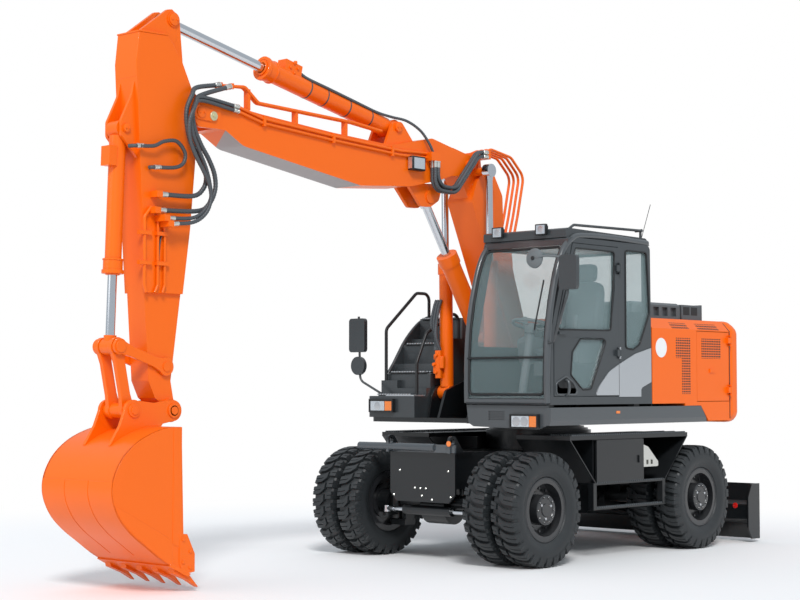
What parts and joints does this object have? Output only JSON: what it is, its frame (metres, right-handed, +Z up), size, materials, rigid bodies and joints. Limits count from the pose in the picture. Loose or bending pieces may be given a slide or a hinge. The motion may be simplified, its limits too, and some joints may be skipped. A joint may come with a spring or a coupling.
{
  "type": "wheeled excavator",
  "caption": "Wheeled excavator with a side cab, a two-piece boom with arm and toothed bucket, twin tyres and a rear dozer blade.",
  "frame": {"origin": "on the ground, under the middle of the machine's own box at rest; the swing axis lies 1.72 m behind it", "axes": "+X forward, towards the bucket; +Y to the machine's left, the cab side; +Z up"},
  "size_m": [7.9398, 3.1, 4.786],
  "materials": {
    "tyre": "matt rubber",
    "rim_black": "satin black paint",
    "rod_chrome": "polished",
    "machine_paint": "gloss paint",
    "panel_paint": "gloss paint",
    "cab_paint": "satin paint",
    "cab_glass": "tinted clear glass",
    "seat_fabric": "woven fabric",
    "cab_plastic": "moulded plastic",
    "hose_rubber": "braided rubber cover",
    "lamp_plastic": "moulded plastic",
    "skirt_paint": "satin dark grey paint",
    "chassis_paint": "satin dark grey paint"
  },
  "bodies": {
    "chassis": {"chassis_frame": "chassis_paint", "slew_ring": "chassis_paint", "front_axle": "chassis_paint", "rear_axle": "chassis_paint", "drive_line": "chassis_paint", "front_guard": "chassis_paint", "side_steps": "chassis_paint"},
    "upper": {"upper_frame": "chassis_paint", "counterweight": "panel_paint", "side_panel_left": "panel_paint", "side_panel_right": "panel_paint", "hood_deck": "machine_paint", "engine_block": "chassis_paint", "tank_box": "chassis_paint", "handrails": "chassis_paint", "skirts": "skirt_paint", "lamps": "lamp_plastic", "mirrors": "lamp_plastic", "cab_frame": "cab_paint", "cab_roof": "cab_paint", "cab_glass": "cab_glass", "cab_controls": "cab_plastic", "seat_cushions": "seat_fabric"},
    "lower_boom": {"lower_boom": "machine_paint", "fold_hoses": "hose_rubber"},
    "upper_boom": {"upper_boom": "machine_paint", "arm_hoses": "hose_rubber"},
    "arm": {"arm": "machine_paint"},
    "bucket": {"bucket": "machine_paint"},
    "blade": {"dozer_blade": "chassis_paint"},
    "knuckle_left": {"knuckle_left": "chassis_paint"},
    "knuckle_right": {"knuckle_right": "chassis_paint"},
    "steering_rod": {"steering_rod": "rod_chrome"},
    "boom_ram_barrel": {"boom_ram_barrels": "machine_paint"},
    "boom_ram_rod": {"boom_ram_rods": "rod_chrome"},
    "fold_ram_barrel": {"fold_ram_barrel": "machine_paint"},
    "fold_ram_rod": {"fold_ram_rod": "rod_chrome"},
    "arm_ram_barrel": {"arm_ram_barrel": "machine_paint"},
    "arm_ram_rod": {"arm_ram_rod": "rod_chrome"},
    "bucket_ram_barrel": {"bucket_ram_barrel": "machine_paint"},
    "bucket_ram_rod": {"bucket_ram_rod": "rod_chrome"},
    "blade_ram_barrel": {"blade_ram_barrels": "chassis_paint"},
    "blade_ram_rod": {"blade_ram_rods": "rod_chrome"},
    "bucket_rocker": {"bucket_rocker": "machine_paint"},
    "bucket_link": {"bucket_link": "machine_paint"},
    "cab_door": {"cab_door": "cab_paint", "door_glass": "cab_glass"},
    "service_door_left": {"service_door_left": "panel_paint"},
    "service_door_right": {"service_door_right": "panel_paint"},
    "engine_hood": {"engine_hood": "machine_paint"},
    "toolbox_door": {"toolbox_door": "chassis_paint"},
    "wheel_front_left": {"tyres_front_left": "tyre", "rims_front_left": "rim_black"},
    "wheel_front_right": {"tyres_front_right": "tyre", "rims_front_right": "rim_black"},
    "wheel_rear_left": {"tyres_rear_left": "tyre", "rims_rear_left": "rim_black"},
    "wheel_rear_right": {"tyres_rear_right": "tyre", "rims_rear_right": "rim_black"}
  },
  "joints": [
    {"name": "slew", "type": "hinge", "parent": "chassis", "child": "upper", "pos_m": [-1.72, 0, 1.215], "axis": [0, 0, 1], "continuous": true},
    {"name": "boom_lift", "type": "hinge", "parent": "upper", "child": "lower_boom", "pos_m": [-1.57, -0.2, 1.9], "axis": [0, -1, 0], "range_deg": [-50, 12]},
    {"name": "boom_fold", "type": "hinge", "parent": "lower_boom", "child": "upper_boom", "pos_m": [-0.67, -0.2, 3.85], "axis": [0, 1, 0], "range_deg": [-45, 20], "deforming": ["fold_hoses"]},
    {"name": "arm_swing", "type": "hinge", "parent": "upper_boom", "child": "arm", "pos_m": [2.828, -0.2, 3.959], "axis": [0, -1, 0], "range_deg": [-55, 45], "deforming": ["arm_hoses"]},
    {"name": "bucket_curl", "type": "hinge", "parent": "arm", "child": "bucket", "pos_m": [3.129, -0.2, 1.456], "axis": [0, -1, 0], "range_deg": [-80, 38]},
    {"name": "blade_lift", "type": "hinge", "parent": "chassis", "child": "blade", "pos_m": [-3.22, 0, 0.42], "axis": [0, 1, 0], "range_deg": [-8, 30]},
    {"name": "steer_left", "type": "hinge", "parent": "chassis", "child": "knuckle_left", "pos_m": [-0.22, 0.6, 0.5275], "axis": [0, 0, 1], "range_deg": [-30, 30]},
    {"name": "steer_right", "type": "hinge", "parent": "chassis", "child": "knuckle_right", "pos_m": [-0.22, -0.6, 0.5275], "axis": [0, 0, 1], "range_deg": [-31, 31]},
    {"name": "steer_rod_slide", "type": "slide", "parent": "chassis", "child": "steering_rod", "axis": [0, 1, 0], "range_m": [-0.12, 0.12]},
    {"name": "wheel_front_left_turn", "type": "hinge", "parent": "knuckle_left", "child": "wheel_front_left", "pos_m": [-0.22, 0, 0.5275], "axis": [0, 1, 0], "continuous": true},
    {"name": "wheel_front_right_turn", "type": "hinge", "parent": "knuckle_right", "child": "wheel_front_right", "pos_m": [-0.22, 0, 0.5275], "axis": [0, 1, 0], "continuous": true},
    {"name": "wheel_rear_left_turn", "type": "hinge", "parent": "chassis", "child": "wheel_rear_left", "pos_m": [-2.82, 0, 0.5275], "axis": [0, 1, 0], "continuous": true},
    {"name": "wheel_rear_right_turn", "type": "hinge", "parent": "chassis", "child": "wheel_rear_right", "pos_m": [-2.82, 0, 0.5275], "axis": [0, 1, 0], "continuous": true},
    {"name": "boom_ram_barrel_turn", "type": "hinge", "parent": "upper", "child": "boom_ram_barrel", "pos_m": [-0.85, -0.2, 1.6], "axis": [0, -1, 0], "range_deg": [-49.94, 12.75]},
    {"name": "boom_ram_rod_slide", "type": "slide", "parent": "boom_ram_barrel", "child": "boom_ram_rod", "axis": [0.0136, 0, 0.9999], "range_m": [-0.6698, 0.1684]},
    {"name": "fold_ram_barrel_turn", "type": "hinge", "parent": "lower_boom", "child": "fold_ram_barrel", "pos_m": [-1.03, -0.2, 2.17], "axis": [0, -1, 0], "range_deg": [-2.58, 4.56]},
    {"name": "fold_ram_rod_slide", "type": "slide", "parent": "fold_ram_barrel", "child": "fold_ram_rod", "axis": [0.5518, 0, 0.834], "range_m": [-0.2168, 0.4752]},
    {"name": "arm_ram_barrel_turn", "type": "hinge", "parent": "upper_boom", "child": "arm_ram_barrel", "pos_m": [0.348, -0.2, 4.119], "axis": [0, -1, 0], "range_deg": [-9.98, 8.35]},
    {"name": "arm_ram_rod_slide", "type": "slide", "parent": "arm_ram_barrel", "child": "arm_ram_rod", "axis": [0.9775, 0, 0.2111], "range_m": [-0.4905, 0.5973]},
    {"name": "blade_ram_barrel_turn", "type": "hinge", "parent": "chassis", "child": "blade_ram_barrel", "pos_m": [-3.34, 0, 1.01], "axis": [0, -1, 0], "range_deg": [-6.77, 2.54]},
    {"name": "blade_ram_rod_slide", "type": "slide", "parent": "blade_ram_barrel", "child": "blade_ram_rod", "axis": [-0.4287, 0, -0.9034], "range_m": [-0.2098, 0.0633]},
    {"name": "bucket_rocker_turn", "type": "hinge", "parent": "arm", "child": "bucket_rocker", "pos_m": [3.175, -0.2, 1.816], "axis": [0, -1, 0], "range_deg": [-68.75, 33.18]},
    {"name": "bucket_link_turn", "type": "hinge", "parent": "bucket_rocker", "child": "bucket_link", "pos_m": [3.652, -0.2, 1.975], "axis": [0, -1, 0], "range_deg": [-22.19, 45.61]},
    {"name": "bucket_ram_barrel_turn", "type": "hinge", "parent": "arm", "child": "bucket_ram_barrel", "pos_m": [3.587, -0.2, 3.748], "axis": [0, -1, 0], "range_deg": [-2.3, 1.62]},
    {"name": "bucket_ram_rod_slide", "type": "slide", "parent": "bucket_ram_barrel", "child": "bucket_ram_rod", "axis": [0.0366, 0, -0.9993], "range_m": [-0.2655, 0.5478]},
    {"name": "cab_door_hinge", "type": "hinge", "parent": "upper", "child": "cab_door", "pos_m": [-1.41, 1.249, 2.2], "axis": [0, 0, 1], "range_deg": [0, 160]},
    {"name": "service_door_left_hinge", "type": "hinge", "parent": "upper", "child": "service_door_left", "pos_m": [-3.426, 1.249, 1.86], "axis": [0, 0, 1], "range_deg": [0, 100]},
    {"name": "service_door_right_hinge", "type": "hinge", "parent": "upper", "child": "service_door_right", "pos_m": [-3.426, -1.249, 1.86], "axis": [0, 0, -1], "range_deg": [0, 100]},
    {"name": "engine_hood_hinge", "type": "hinge", "parent": "upper", "child": "engine_hood", "pos_m": [-2.115, 0, 2.375], "axis": [0, 1, 0], "range_deg": [0, 55]},
    {"name": "toolbox_door_hinge", "type": "hinge", "parent": "chassis", "child": "toolbox_door", "pos_m": [-1.094, 1.182, 0.9], "axis": [0, 0, -1], "range_deg": [0, 90]}
  ],
  "couplings": [
    {"joint": "steer_right", "follows": "steer_left", "ratio": 1},
    {"joint": "steer_rod_slide", "follows": "steer_left", "m_per_rad": 0.2005},
    {"joint": "boom_ram_barrel_turn", "follows": "boom_lift", "ratio": 0.9788},
    {"joint": "boom_ram_rod_slide", "follows": "boom_lift", "m_per_rad": 0.7561},
    {"joint": "fold_ram_barrel_turn", "follows": "boom_fold", "ratio": -0.0791},
    {"joint": "fold_ram_rod_slide", "follows": "boom_fold", "m_per_rad": -0.5923},
    {"joint": "arm_ram_barrel_turn", "follows": "arm_swing", "ratio": 0.1633},
    {"joint": "arm_ram_rod_slide", "follows": "arm_swing", "m_per_rad": -0.6118},
    {"joint": "blade_ram_barrel_turn", "follows": "blade_lift", "ratio": -0.1923},
    {"joint": "blade_ram_rod_slide", "follows": "blade_lift", "m_per_rad": -0.3816},
    {"joint": "bucket_rocker_turn", "follows": "bucket_curl", "ratio": 0.8469},
    {"joint": "bucket_link_turn", "follows": "bucket_curl", "ratio": -0.5576},
    {"joint": "bucket_ram_barrel_turn", "follows": "bucket_curl", "ratio": 0.0162},
    {"joint": "bucket_ram_rod_slide", "follows": "bucket_curl", "m_per_rad": -0.3852}
  ]
}
